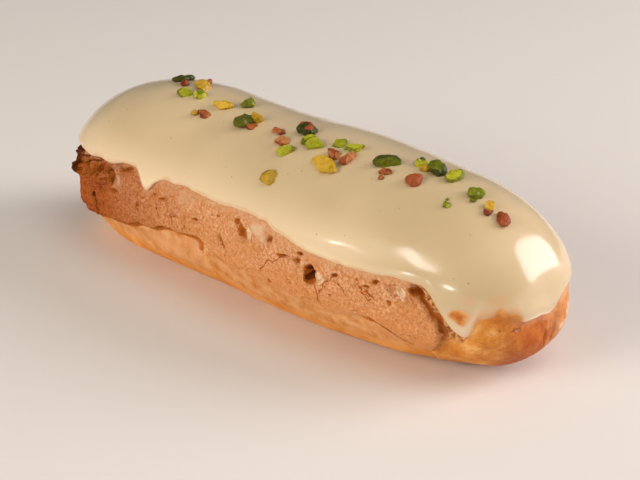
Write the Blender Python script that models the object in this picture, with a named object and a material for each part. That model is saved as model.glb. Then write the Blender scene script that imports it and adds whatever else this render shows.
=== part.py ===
"""A pistachio eclair, modelled as its two real pieces: the baked choux shell with its biscuit crust,
and the layer of icing that was poured over its top and set there.

Frame: metres, +Z up, the origin under the middle of the shell at the level of its flat base. +X runs
along the eclair to its full end, and its front faces -Y.

Both pieces lie on one smooth loaf, which is the outside of the finished eclair. A point of the loaf
is told by its place, which is how far round the eclair it lies, and by the elevation at which it is
seen from the spine, a level line inside. Each piece starts as a box cut into a grid. The rim of the
box's top becomes the icing's lower edge, so the grid follows that edge, and every point then sinks
into the loaf or stands out of it by a relief of its own.
"""
import math

import bmesh
import bpy
import numpy as np

MM = 0.001

# ---- driving dimensions, in millimetres ----
REACH = 64.0                # centre to either tip
JOIN_X = -3.0               # where the blunt far end's curve hands over to the near end's
HALF_WIDTH = 22.6           # at JOIN_X
HEIGHT = 39.2               # at JOIN_X, icing included
BELLY_HEIGHT = 17.7         # level of the spine, at which the loaf is widest
BELLY_DROP = 21.0           # how far below the spine the underside would reach, were it not flat
WIDTH_GROWTH = 0.12         # the loaf widens towards the near end by this share
HEIGHT_GROWTH = -0.066      # and gets lower by this one
WAIST_X, WAIST_SPREAD = -9.8, 18.0
WAIST_WIDTH, WAIST_HEIGHT = 0.056, 0.034

ICING_THICKNESS = 2.0
ICING_LIP = 1.2             # how far the icing's edge stands proud of the crust below it
CRUST_THICKNESS = 1.1       # how far the crust stands proud of the bare choux
STEP = 0.8                  # height over which the shell's surface steps at both of these edges
GAP = 0.3                   # between icing and shell, so that the two solids never overlap
BASE_ELEVATION = -55.0      # degrees, where the flanks turn into the underside
# The curve in which each end closes, seen from above and from the side, as two exponents: the first
# tells how long the loaf keeps its full size, and the second how blunt its tip is.
FAR_WIDTH_CURVE, NEAR_WIDTH_CURVE = (5.8, 2.9), (1.75, 3.2)
FAR_DOME_CURVE, NEAR_DOME_CURVE = (2.85, 2.05), (6.0, 3.1)
UNDERSIDE_SHARE = 0.6       # how much of the narrowing, as an exponent, the underside follows

# Places are told in mm from the middle of the front: -TIP is the far tip, TIP the near one, and from
# there they run along the back to LAP - TIP, which is the far tip again.
SPINE_END = 48.0
TURN_RADIUS = 16.0
TIP = SPINE_END + TURN_RADIUS * math.pi / 2
LAP = 4 * TIP

# The icing's lower edge as it was poured: (place, height above the base).
POURED_EDGE = [
    (-TIP, 24.0), (-52, 24.2), (-36, 25.2), (-15, 25.4), (8, 24.6), (18, 23.0), (40, 22.4),
    (50, 21.2), (60, 19.2), (82, 19.2), (98, 21.5), (128, 20.5), (160, 23.5), (190, 22.5),
    (LAP - TIP, 24.0),
]
# Where it ran down further: (place, drop, half width).
DRIPS = [
    (-27.4, 2.4, 2.4), (50.5, 3.2, 3.6), (54.6, 4.4, 2.0), (70.8, 4.4, 4.6),
    (112, 2.6, 3.4), (143, 3.4, 3.0), (176, 2.4, 3.6), (205, 1.8, 3.0),
]
# The lower edge of the biscuit crust, which the choux grew out from under: (place, height).
CRUST_FOOT = [
    (-TIP, 7.5), (-48, 8.4), (-41, 9.2), (-30, 12.0), (-20, 14.2), (-9, 15.4), (1, 13.2), (18, 12.2),
    (38, 13.7), (45, 11.6), (52, 7.0), (78, 6.0), (90, 9.0), (110, 13.0), (140, 11.0), (170, 14.0),
    (200, 10.0), (LAP - TIP, 7.5),
]
BARE_FROM, BARE_TO = 50.5, 76.5     # between these places the crust tore off and the choux is bare
PLEAT_DEPTH, PLEAT_LENGTH = 0.3, 3.1    # of the long shallow pleats of the choux below the crust's foot
# Holes where the crust or the choux burst: (place, height, half width, depth).
BURSTS = [
    (-56.0, 20.5, 3.4, 1.5), (-39.0, 21.5, 3.0, 1.3), (-8.0, 14.6, 2.2, 1.6), (2.6, 21.4, 2.4, 1.2),
    (21.6, 18.4, 2.8, 1.6), (42.0, 19.8, 2.4, 1.0), (104.0, 17.0, 2.6, 1.4), (136.0, 14.0, 2.8, 1.5),
    (181.0, 17.5, 3.0, 1.4),
]
# Broad swells and hollows of the poured icing: (x, y, spread, rise).
SWELLS = [(-34, -6, 12, 0.5), (-12, -9, 9, -0.6), (10, 4, 11, 0.4), (31, -14, 8, -0.7), (46, 2, 10, 0.5)]

# Cells of each piece's grid: along the loaf, across it, and down the box's walls.
SHELL_CELLS = (52, 12, 12)
ICING_CELLS = (52, 12, 4)
# The wall rows of the shell that follow the icing's edge, the crust's foot, and the step below each.
SHELL_ROWS = (0, 1, 6, 7, 12)


def smooth_step(low, high, value):
    """0 below low, 1 above high, and an S curve between them."""
    share = np.clip((value - low) / (high - low), 0.0, 1.0)
    return share * share * (3.0 - 2.0 * share)


def height_round(knots, place):
    """Height at a place of a line drawn round the loaf, easing in and out of every knot."""
    places, heights = np.array(knots, float).T
    index = np.clip(np.searchsorted(places, place, side="right") - 1, 0, len(places) - 2)
    share = smooth_step(places[index], places[index + 1], place)
    return heights[index] + share * (heights[index + 1] - heights[index])


def bell_round(centre, half_width, place):
    """A bell of height 1 round one place of the lap."""
    away = (place - centre + LAP / 2) % LAP - LAP / 2
    return np.exp(-((away / half_width) ** 2))


def icing_edge(place):
    """Height of the icing's lower edge, drips included."""
    height = height_round(POURED_EDGE, place)
    for centre, drop, half_width in DRIPS:
        height = height - drop * bell_round(centre, half_width, place)
    return height


# ---- the loaf ----
def closing(size, curve):
    """1 where the loaf has its full size and 0 at its tip."""
    fullness, bluntness = curve
    return (1 - size**fullness) ** (1 / bluntness)


def loaf_section(x):
    """Half width, dome height above the spine and drop below it of the loaf at x."""
    along = (x - JOIN_X) / np.where(x < JOIN_X, REACH + JOIN_X, REACH - JOIN_X)
    far = along < 0
    size = np.minimum(np.abs(along), 0.9999)
    width_curve = np.where(far, closing(size, FAR_WIDTH_CURVE), closing(size, NEAR_WIDTH_CURVE))
    dome_curve = np.where(far, closing(size, FAR_DOME_CURVE), closing(size, NEAR_DOME_CURVE))
    waist = np.exp(-(((x - WAIST_X) / WAIST_SPREAD) ** 2))
    half_width = HALF_WIDTH * (1 + WIDTH_GROWTH * along - WAIST_WIDTH * waist) * width_curve
    top = HEIGHT * (1 + HEIGHT_GROWTH * along - WAIST_HEIGHT * waist)
    return half_width, (top - BELLY_HEIGHT) * dome_curve, BELLY_DROP * width_curve**UNDERSIDE_SHARE


def depth_share(points):
    """1 on the loaf's skin, less inside it and more outside."""
    x, y, z = points.T
    half_width, dome, drop = loaf_section(x)
    rise = (z - BELLY_HEIGHT) / np.where(z > BELLY_HEIGHT, dome, drop)
    return np.where(np.abs(x) < REACH, (y / half_width) ** 2 + rise**2, 2.0)


def skin_along(starts, directions):
    """The points where rays that start inside the loaf come out of it, found by halving."""
    inner = np.zeros(len(starts))
    outer = np.full(len(starts), REACH)
    for _ in range(30):
        middle = (inner + outer) / 2
        inside = depth_share(starts + middle[:, None] * directions) < 1
        inner = np.where(inside, middle, inner)
        outer = np.where(inside, outer, middle)
    return starts + inner[:, None] * directions


def skin_normals(points):
    reach = 0.01
    slopes = np.stack(
        [depth_share(points + reach * axis) - depth_share(points - reach * axis) for axis in np.eye(3)], axis=1
    )
    return slopes / np.linalg.norm(slopes, axis=1)[:, None]


def spine_view(place):
    """The spine point that a place is seen from, and the level direction in which it is seen."""
    on_back = place > TIP
    along = np.where(on_back, 2 * TIP - place, place)
    x = np.clip(along, -SPINE_END, SPINE_END)
    turn = (along - x) / TURN_RADIUS
    nothing = np.zeros(len(place))
    start = np.stack([x, nothing, nothing + BELLY_HEIGHT], axis=1)
    return start, np.stack([np.sin(turn), np.where(on_back, 1, -1) * np.cos(turn), nothing], axis=1)


def elevation_at(place, height):
    """The elevation, in degrees, at which the loaf's skin is seen at a place and a height."""
    start, heading = spine_view(place)
    level = start + (height - BELLY_HEIGHT)[:, None] * np.array([0.0, 0.0, 1.0])
    away = np.linalg.norm(skin_along(level, heading) - level, axis=1)
    return np.degrees(np.arctan2(height - BELLY_HEIGHT, away))


def skin_point(place, elevation):
    start, heading = spine_view(place)
    lift = np.radians(elevation)[:, None]
    return skin_along(start, np.cos(lift) * heading + np.sin(lift) * np.array([0.0, 0.0, 1.0]))


# ---- the grid ----
def gridded_box(cells):
    """A cube from -1 to 1, cut into cells along X, across Y and down Z."""
    box = bmesh.new()
    bmesh.ops.create_cube(box, size=2.0)
    for axis, count in enumerate(cells):
        edges = [e for e in box.edges if abs(e.verts[0].co[axis] - e.verts[1].co[axis]) > 1.0]
        bmesh.ops.subdivide_edges(box, edges=edges, cuts=count - 1, use_grid_fill=True)
    return box


def lay_out(box, cells):
    """The place of every point of the box, its share of the way out to the rim, and its wall row."""
    along, across, down = cells
    u, v, w = np.array([vertex.co for vertex in box.verts]).T
    straight = 1 - across / along
    beyond = np.clip((np.abs(u) - straight) / (1 - straight), 0.0, 1.0)
    out = np.maximum(beyond, np.abs(v))
    # Both ends of the box's top are half squares, wrapped ring by ring into half discs.
    cornering = np.minimum(beyond, np.abs(v)) / np.maximum(out, 1e-6) * 45.0
    turn = np.radians(np.where(beyond > np.abs(v), 90.0 - cornering, cornering))
    x = np.clip(u / straight, -1.0, 1.0) * SPINE_END
    place = x + np.sign(u) * TURN_RADIUS * np.where(beyond > 0, turn, 0.0)
    place = np.where(v > 0, 2 * TIP - place, place)
    return place, out, np.rint((1 - w) / 2 * down)


def set_points(box, points):
    for vertex, point in zip(box.verts, points * MM):
        vertex.co = point
    # Cut the same way in both pieces, so that where one follows the other they stay parallel.
    bmesh.ops.triangulate(box, faces=box.faces, quad_method="FIXED")


# ---- the choux shell ----
def shell_relief(place, height):
    """How far the shell stands off the loaf under the icing, at the crust's edges and at its holes."""
    below_edge = icing_edge(place) - height
    under_icing = smooth_step(-STEP, 0.0, -below_edge)
    lip = ICING_LIP * (1 - smooth_step(STEP, 7.0, below_edge))
    room = np.where(under_icing > 0, lip + (ICING_THICKNESS + GAP - lip) * under_icing, lip)
    below_foot = height_round(CRUST_FOOT, place) - height
    undercut = smooth_step(0.0, STEP, below_foot) * (1 - smooth_step(3.0, 9.0, below_foot))
    bare_within = np.minimum(place - BARE_FROM, BARE_TO - place)
    bare = smooth_step(-1.0, 1.0, bare_within)
    torn = bare * (1 - smooth_step(4.0, 12.0, bare_within)) * smooth_step(1.0, 6.0, height)
    recess = CRUST_THICKNESS * np.maximum(undercut * (1 - bare), torn)
    pleated = smooth_step(1.0, 5.0, height) * smooth_step(0.0, 3.0, below_foot)
    pleats = PLEAT_DEPTH * np.sin(place / PLEAT_LENGTH) * pleated
    bursts = np.zeros(len(place))
    for centre, middle, half_width, depth in BURSTS:
        across = np.exp(-(((height - middle) / half_width) ** 2))
        bursts = bursts + depth * bell_round(centre, half_width, place) * across
    return -room + (pleats - recess - bursts) * smooth_step(0.0, 2.0, below_edge)


def shell_elevation(place, out, row):
    """Elevation of every point: the wall rows follow the icing's edge and the crust's foot."""
    edge = icing_edge(place)
    foot = height_round(CRUST_FOOT, place)
    lines = [elevation_at(place, height) for height in (edge, edge - STEP, foot, foot - STEP)]
    lines = np.stack(lines + [np.full(len(place), BASE_ELEVATION)])
    line = np.clip(np.searchsorted(SHELL_ROWS, row, side="right") - 1, 0, len(SHELL_ROWS) - 2)
    rows = np.array(SHELL_ROWS, float)
    share = (row - rows[line]) / (rows[line + 1] - rows[line])
    each = np.arange(len(place))
    wall = lines[line, each] * (1 - share) + lines[line + 1, each] * share
    pole = np.where(row == 0, 90.0, -90.0)
    return np.where(out < 0.999, pole + out * (wall - pole), wall)


def make_choux_shell():
    box = gridded_box(SHELL_CELLS)
    place, out, row = lay_out(box, SHELL_CELLS)
    points = skin_point(place, shell_elevation(place, out, row))
    points = points + shell_relief(place, points[:, 2])[:, None] * skin_normals(points)
    points[:, 2] = np.maximum(points[:, 2], 0.0)
    set_points(box, points)
    return add_object("choux_shell", box, food_material("baked_choux", (0.60, 0.27, 0.10), 0.75))


# ---- the icing ----
def icing_swell(x, y):
    return sum(rise * np.exp(-((x - sx) ** 2 + (y - sy) ** 2) / spread**2) for sx, sy, spread, rise in SWELLS)


def make_icing():
    """The box's top becomes the icing's outside, its base the inside, and its walls a rounded rim."""
    box = gridded_box(ICING_CELLS)
    place, out, row = lay_out(box, ICING_CELLS)
    round_rim = row / ICING_CELLS[2] * math.pi
    half_thickness = ICING_THICKNESS / 2
    rim = elevation_at(place, icing_edge(place) + half_thickness * (1 - np.sin(round_rim)))
    points = skin_point(place, 90.0 + out * (rim - 90.0))
    swell = icing_swell(points[:, 0], points[:, 1]) * (1 - smooth_step(0.6, 1.0, out)) * (row == 0)
    offset = half_thickness * (np.cos(round_rim) - 1) + swell
    set_points(box, points + offset[:, None] * skin_normals(points))
    return add_object("icing", box, food_material("pistachio_icing", (0.71, 0.58, 0.33), 0.2))


def add_object(name, box, material):
    mesh = bpy.data.meshes.new(name)
    box.to_mesh(mesh)
    box.free()
    mesh.shade_smooth()
    mesh.materials.append(material)
    piece = bpy.data.objects.new(name, mesh)
    bpy.context.scene.collection.objects.link(piece)
    return piece


def food_material(name, colour, roughness):
    material = bpy.data.materials.new(name)
    material.use_nodes = True
    surface = material.node_tree.nodes["Principled BSDF"]
    surface.inputs["Base Color"].default_value = (*colour, 1.0)
    surface.inputs["Roughness"].default_value = roughness
    surface.inputs["Metallic"].default_value = 0.0
    return material


def main():
    for obj in list(bpy.data.objects):
        bpy.data.objects.remove(obj)
    make_choux_shell()
    make_icing()


main()
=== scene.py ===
import math

import bmesh
import bpy
import numpy as np
from mathutils import Matrix, Vector, noise
from mathutils.bvhtree import BVHTree


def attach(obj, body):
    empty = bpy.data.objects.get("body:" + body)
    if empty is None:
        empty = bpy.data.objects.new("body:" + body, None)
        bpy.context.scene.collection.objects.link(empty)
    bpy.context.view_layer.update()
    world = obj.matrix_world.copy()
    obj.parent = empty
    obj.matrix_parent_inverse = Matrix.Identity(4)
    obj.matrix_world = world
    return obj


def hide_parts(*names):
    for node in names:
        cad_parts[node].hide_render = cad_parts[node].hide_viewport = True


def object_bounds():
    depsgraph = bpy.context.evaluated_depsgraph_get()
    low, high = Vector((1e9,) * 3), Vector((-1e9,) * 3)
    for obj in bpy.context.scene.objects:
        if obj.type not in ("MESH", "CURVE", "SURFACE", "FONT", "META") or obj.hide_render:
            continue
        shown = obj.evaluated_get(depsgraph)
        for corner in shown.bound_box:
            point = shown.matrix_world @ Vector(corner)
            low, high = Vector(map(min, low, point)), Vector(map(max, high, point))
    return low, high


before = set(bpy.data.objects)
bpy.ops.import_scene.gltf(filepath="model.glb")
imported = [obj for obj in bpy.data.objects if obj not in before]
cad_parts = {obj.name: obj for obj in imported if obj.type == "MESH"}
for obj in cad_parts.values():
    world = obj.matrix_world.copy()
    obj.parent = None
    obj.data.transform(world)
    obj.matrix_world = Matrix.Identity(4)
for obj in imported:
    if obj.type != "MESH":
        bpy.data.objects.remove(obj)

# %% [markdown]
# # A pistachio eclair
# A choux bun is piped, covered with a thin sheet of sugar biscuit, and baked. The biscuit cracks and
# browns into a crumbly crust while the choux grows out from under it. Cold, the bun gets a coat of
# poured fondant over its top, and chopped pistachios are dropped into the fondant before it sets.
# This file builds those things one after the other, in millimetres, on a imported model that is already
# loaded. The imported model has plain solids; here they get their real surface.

CAD_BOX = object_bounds()
MM = 0.001
ROOT = "root"

size = (CAD_BOX[1] - CAD_BOX[0]) / MM
print("the packed eclair measures", [round(side, 1) for side in size], "mm")


# %% [markdown]
# ## The loaf
# Everything lies on one smooth loaf, the outside of the finished eclair. Its cross section is a dome
# over a shallower belly, and superellipse curves close its two ends: the far one blunt, the near one
# full. Working from one such function keeps the crust, the icing and the nuts in register. A point of
# the loaf is told by its place, the distance walked round it in millimetres from the middle of its
# front, and by its height or its elevation, the angle at which it is seen from a level spine inside.

# %% The loaf's section
REACH = 64.0
JOIN_X = -3.0
HALF_WIDTH = 22.6
HEIGHT = 39.2
BELLY_HEIGHT = 17.7
BELLY_DROP = 21.0
WIDTH_GROWTH = 0.12
HEIGHT_GROWTH = -0.066
WAIST_X, WAIST_SPREAD = -9.8, 18.0
WAIST_WIDTH, WAIST_HEIGHT = 0.056, 0.034
# The curve in which each end closes, seen from above and from the side, as two exponents: the first
# tells how long the loaf keeps its full size, and the second how blunt its tip is.
FAR_WIDTH_CURVE, NEAR_WIDTH_CURVE = (5.8, 2.9), (1.75, 3.2)
FAR_DOME_CURVE, NEAR_DOME_CURVE = (2.85, 2.05), (6.0, 3.1)
UNDERSIDE_SHARE = 0.6


def ease(low, high, value):
    """0 below low, 1 above high, and an S curve between them."""
    share = np.clip((value - low) / (high - low), 0, 1)
    return share * share * (3 - 2 * share)


def fade(low, high, value):
    return 1 - ease(low, high, value)


def closing(size, curve):
    """1 where the loaf has its full size and 0 at its tip."""
    fullness, bluntness = curve
    return (1 - size**fullness) ** (1 / bluntness)


def loaf_section(x):
    """Half width, dome height above the spine and drop below it of the loaf at x."""
    along = (x - JOIN_X) / np.where(x < JOIN_X, REACH + JOIN_X, REACH - JOIN_X)
    far = along < 0
    size = np.minimum(np.abs(along), 0.9999)
    width_curve = np.where(far, closing(size, FAR_WIDTH_CURVE), closing(size, NEAR_WIDTH_CURVE))
    dome_curve = np.where(far, closing(size, FAR_DOME_CURVE), closing(size, NEAR_DOME_CURVE))
    waist = np.exp(-(((x - WAIST_X) / WAIST_SPREAD) ** 2))
    half_width = HALF_WIDTH * (1 + WIDTH_GROWTH * along - WAIST_WIDTH * waist) * width_curve
    top = HEIGHT * (1 + HEIGHT_GROWTH * along - WAIST_HEIGHT * waist)
    return half_width, (top - BELLY_HEIGHT) * dome_curve, BELLY_DROP * width_curve**UNDERSIDE_SHARE


def depth_share(points):
    """1 on the loaf's skin, less inside it and more outside."""
    x, y, z = points.T
    half_width, dome, drop = loaf_section(x)
    rise = (z - BELLY_HEIGHT) / np.where(z > BELLY_HEIGHT, dome, drop)
    return np.where(np.abs(x) < REACH, (y / half_width) ** 2 + rise**2, 2.0)


widths = loaf_section(np.array([-50.0, 0.0, 50.0]))[0] * 2
print("width near the ends and in the middle:", widths.round(1), "mm")

# %% Rays from the spine, and the skin's direction
SPINE_END = 48.0
TURN_RADIUS = 16.0
TIP = SPINE_END + TURN_RADIUS * math.pi / 2
LAP = 4 * TIP
UPWARDS = np.array([0.0, 0.0, 1.0])


def skin_along(starts, directions):
    """The points where rays that start inside the loaf come out of it, found by halving."""
    inner = np.zeros(len(starts))
    outer = np.full(len(starts), REACH)
    for _ in range(30):
        middle = (inner + outer) / 2
        inside = depth_share(starts + middle[:, None] * directions) < 1
        inner = np.where(inside, middle, inner)
        outer = np.where(inside, outer, middle)
    return starts + inner[:, None] * directions


def skin_normals(points):
    steps = 0.01 * np.eye(3)
    slopes = np.stack([depth_share(points + step) - depth_share(points - step) for step in steps], axis=1)
    return slopes / np.linalg.norm(slopes, axis=1)[:, None]


def spine_view(place):
    """The spine point that a place is seen from, and the level direction in which it is seen."""
    on_back = place > TIP
    along = np.where(on_back, 2 * TIP - place, place)
    x = np.clip(along, -SPINE_END, SPINE_END)
    turn = (along - x) / TURN_RADIUS
    nothing = np.zeros(len(place))
    start = np.stack([x, nothing, nothing + BELLY_HEIGHT], axis=1)
    return start, np.stack([np.sin(turn), np.where(on_back, 1, -1) * np.cos(turn), nothing], axis=1)


def elevation_at(place, height):
    """The elevation, in degrees, at which the loaf's skin is seen at a place and a height."""
    start, heading = spine_view(place)
    level = start + (height - BELLY_HEIGHT)[:, None] * UPWARDS
    away = np.linalg.norm(skin_along(level, heading) - level, axis=1)
    return np.degrees(np.arctan2(height - BELLY_HEIGHT, away))


def skin_point(place, elevation):
    start, heading = spine_view(place)
    lift = np.radians(elevation)[:, None]
    return skin_along(start, np.cos(lift) * heading + np.sin(lift) * UPWARDS)


print("one lap round the eclair is", round(LAP), "mm on this measure")

# %% [markdown]
# ## Lines round the loaf
# The icing's lower edge and the crust's foot are lines drawn round the loaf. Each is a short list of
# places and heights with an eased curve between them. Runs of icing are bells subtracted from its
# edge, and a little noise keeps either line from looking drawn.

# %% The icing's edge and the crust's foot
POURED_EDGE = [
    (-TIP, 24), (-52, 23.8), (-43, 24.3), (-33, 26), (-26, 25.2), (-20, 25.3), (-16, 25.8), (-12, 25.1),
    (-4, 25.1), (3, 25.8), (8, 25.8), (12, 24.4), (19, 23.1), (32, 22.6), (46.2, 22.9), (55, 12.7),
    (58.2, 16.7), (61.8, 17.7), (67.4, 15.9), (73.5, 15.3), (81, 17.8), (98, 21.5), (128, 20.5),
    (160, 23.5), (190, 22.5),
]
DRIPS = [(-27.4, 3.5, 2.4), (112, 2.6, 3.4), (143, 3.4, 3), (176, 2.4, 3.6), (205, 1.8, 3)]
CRUST_FOOT = [
    (-TIP, 6.5), (-52, 7.5), (-41, 10), (-30, 12.6), (-20, 14.8), (-11, 15.8), (-7.2, 12.6), (1, 12.6),
    (18, 11.6), (30, 12.8), (36, 12.2), (42.5, 8.4), (48, 6.5), (82, 6), (92, 9), (110, 13), (140, 11),
    (170, 14), (200, 10),
]


def value_round(knots, place):
    """A value at a place of the lap, eased between the knots (place, value), that ends as it starts."""
    places, values = np.array([*knots, (LAP - TIP, knots[0][1])], float).T
    index = np.clip(np.searchsorted(places, place, side="right") - 1, 0, len(places) - 2)
    share = ease(places[index], places[index + 1], place)
    return values[index] + share * (values[index + 1] - values[index])


def away_round(centre, place):
    """Signed distance along the lap from a place."""
    return (place - centre + LAP / 2) % LAP - LAP / 2


def bell_round(centre, half_width, place):
    return np.exp(-((away_round(centre, place) / half_width) ** 2))


def noise_round(place, size, seed):
    """Noise from -1 to 1 that closes on itself round the lap."""
    radius = LAP / math.tau / size
    turn = place / LAP * math.tau
    return np.array([noise.noise(Vector((radius * math.cos(t), radius * math.sin(t), seed))) for t in turn])


def icing_edge(place):
    height = value_round(POURED_EDGE, place)
    for centre, drop, half_width in DRIPS:
        height = height - drop * bell_round(centre, half_width, place)
    return height + 0.4 * noise_round(place, 6, 3.3) + 0.2 * noise_round(place, 2.4, 5.2)


def crust_foot(place):
    height = value_round(CRUST_FOOT, place)
    return height + 0.7 * noise_round(place, 6, 7.1) + 0.2 * noise_round(place, 2, 9.4)


edge_heights = icing_edge(np.linspace(-TIP, LAP - TIP, 400))
print("the icing ends", edge_heights.min().round(1), "to", edge_heights.max().round(1), "mm up")

# %% [markdown]
# ## Boxes wrapped round the loaf
# Both pieces start as a cube cut into a grid of cells. The cube's four walls are wrapped round the
# loaf's flanks, and its top and base close over them, ring by ring, so that there is no seam and no
# pole, and the cells stay near square. The rim of the cube's top follows whatever line is asked for.

# %% A gridded cube and where its points go
def gridded_box(cells):
    """A cube from -1 to 1, cut into cells along X, across Y and down Z."""
    box = bmesh.new()
    bmesh.ops.create_cube(box, size=2.0)
    for axis, count in enumerate(cells):
        edges = [e for e in box.edges if abs(e.verts[0].co[axis] - e.verts[1].co[axis]) > 1]
        bmesh.ops.subdivide_edges(box, edges=edges, cuts=count - 1, use_grid_fill=True)
    return box


def lay_out(box, cells):
    """The place of every point of the box, its share of the way out to the rim, and its wall row."""
    along, across, down = cells
    u, v, w = np.array([vertex.co for vertex in box.verts]).T
    straight = 1 - across / along
    beyond = np.clip((np.abs(u) - straight) / (1 - straight), 0, 1)
    out = np.maximum(beyond, np.abs(v))
    cornering = np.minimum(beyond, np.abs(v)) / np.maximum(out, 1e-6) * 45
    turn = np.radians(np.where(beyond > np.abs(v), 90 - cornering, cornering))
    x = np.clip(u / straight, -1, 1) * SPINE_END
    place = x + np.sign(u) * TURN_RADIUS * np.where(beyond > 0, turn, 0)
    place = np.where(v > 0, 2 * TIP - place, place)
    return place, out, np.rint((1 - w) / 2 * down)


def set_points(box, points):
    for vertex, point in zip(box.verts, points * MM):
        vertex.co = point
    box.normal_update()


def noise_at(points, size, seed=0):
    """Soft noise from -1 to 1 at points in mm, with lumps of the given size."""
    shift = Vector((seed * 17.3, seed * 5.1, seed * 9.7))
    return np.array([noise.noise(Vector(point) / size + shift) for point in points])


def add_object(name, box, *materials):
    mesh = bpy.data.meshes.new(name)
    box.to_mesh(mesh)
    box.free()
    for material in materials:
        mesh.materials.append(material)
    finished = bpy.data.objects.new(name, mesh)
    bpy.context.scene.collection.objects.link(finished)
    return finished


def add_piece(name, box, *materials):
    """A finished mesh in the scene, at the origin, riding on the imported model's one body."""
    piece = add_object(name, box, *materials)
    piece.data.shade_smooth()
    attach(piece, ROOT)
    return piece


def paint(piece, **masks):
    """Stores a number per vertex for each mask, for the materials to read."""
    for name, values in masks.items():
        attribute = piece.data.attributes.new(name, "FLOAT", "POINT")
        attribute.data.foreach_set("value", np.asarray(values, np.float32))


# %% [markdown]
# ## The crust and the choux
# Craquelin is dry and crumbly: it is pitted, it cracks where the choux pushed, and it ends in a torn
# ledge. Bare choux is smooth and drawn in pleats. All of that stands in the mesh: first the broad
# form, then the holes and cracks from short lists, and last noise as fine as the grid can hold.

# %% The broad form of the shell
SHELL_CELLS = (270, 60, 92)
FOOT_ROW = 54
BASE_ELEVATION = -55.0
RIM_ABOVE_EDGE = 1.6
ICING_THICKNESS = 2.0
CRUST_THICKNESS = 1.2
# Every surface keeps this far inside the loaf, so that its texture doesn't stand out of it.
ALLOWANCE = 0.15
# How far the icing's edge stands proud of what it lies on: (place, mm).
ICING_LIP = [
    (-TIP, 1.3), (-44, 1.2), (-30, 0.8), (-20, 0.6), (-8, 0.35), (36, 0.35), (46, 0.8), (54, 0.8),
    (57.5, 0.25), (64, 0.25), (68, 0.45), (74, 0.2), (86, 0.2), (94, 1.1),
]
LEDGE_DEPTH = [
    (-TIP, 0.9), (-40, 1), (-14, 1.3), (-8, 0.7), (0, 0.25), (26, 0.2), (36, 0.8), (46, 1), (98, 1.1),
]
# How far the crust has sunk in below the icing: deep round the far end.
WAIST_DEPTH = [(-TIP, 0.9), (-60, 1.3), (-50, 1.1), (-38, 0.2), (-30, 0), (90, 0), (200, 0.2)]
# The crust's torn side at the near end leans: (height, place).
TORN_SIDE = [
    (0, 44), (6, 46.6), (10, 49.6), (12.5, 50.6), (15, 49.7), (18, 47.9), (20.5, 45.8), (23, 44.2),
    (26, 43),
]
BARE_TO = 94.0
PLEAT_DEPTH, PLEAT_LENGTH = 0.12, 3.1
# Where glaze and crumbs lie smeared on the choux: (place, height, half width, half height, lean).
SMEARED_SPOT = (53.4, 12.0, 1.8, 2.4, 25)
# How far above its edge the icing first lifts off the shell: late where it runs out to nothing.
LIFT_OFF = [(-TIP, 0), (56.5, 0), (58.5, 1.2), (64, 1.2), (66.5, 0)]


def beyond_tear(place, height):
    """How far a point lies beyond the crust's torn side, in mm; less than 0 is crust."""
    heights, places = np.array(TORN_SIDE, float).T
    return place - np.interp(height, heights, places)


def broad_form(place, height, ragged):
    """How far the shell stands off the loaf before its texture, and the masks that go with it."""
    below_edge = icing_edge(place) - height
    lip = value_round(ICING_LIP, place)
    sunk = lip * fade(0.5, 6.5, below_edge)
    under_icing = ease(0, 1.2, -below_edge - value_round(LIFT_OFF, place))
    sunk = sunk + (ICING_THICKNESS + 0.2 - sunk) * under_icing
    waist = value_round(WAIST_DEPTH, place) * ease(9, 15, height) * (1 - under_icing)
    past_tear = beyond_tear(place, height) + ragged
    bare = ease(-0.3, 0.3, np.minimum(past_tear, BARE_TO - place + ragged))
    below_foot = crust_foot(place) - height + 0.5 * ragged
    ledge_depth = value_round(LEDGE_DEPTH, place)
    softness = 0.4 + 2.4 * fade(0.2, 0.8, ledge_depth)
    ledge = ease(-softness / 2, softness, below_foot) * fade(2.5, 8, below_foot)
    tear = bare * fade(1.5, 6, past_tear) * ease(3, 8, height)
    tear = tear * ease(-0.5, 1, below_edge)
    recess = np.maximum(ledge * ledge_depth * (1 - bare), tear * CRUST_THICKNESS)
    on_choux = np.maximum(bare, ease(-softness / 2, softness, below_foot))
    pleats = PLEAT_DEPTH * np.sin(place / PLEAT_LENGTH + height / 7)
    pleats = pleats * ease(1, 5, height) * on_choux
    return pleats * (1 - under_icing) - recess - sunk - waist - ALLOWANCE, on_choux, bare, tear


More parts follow.
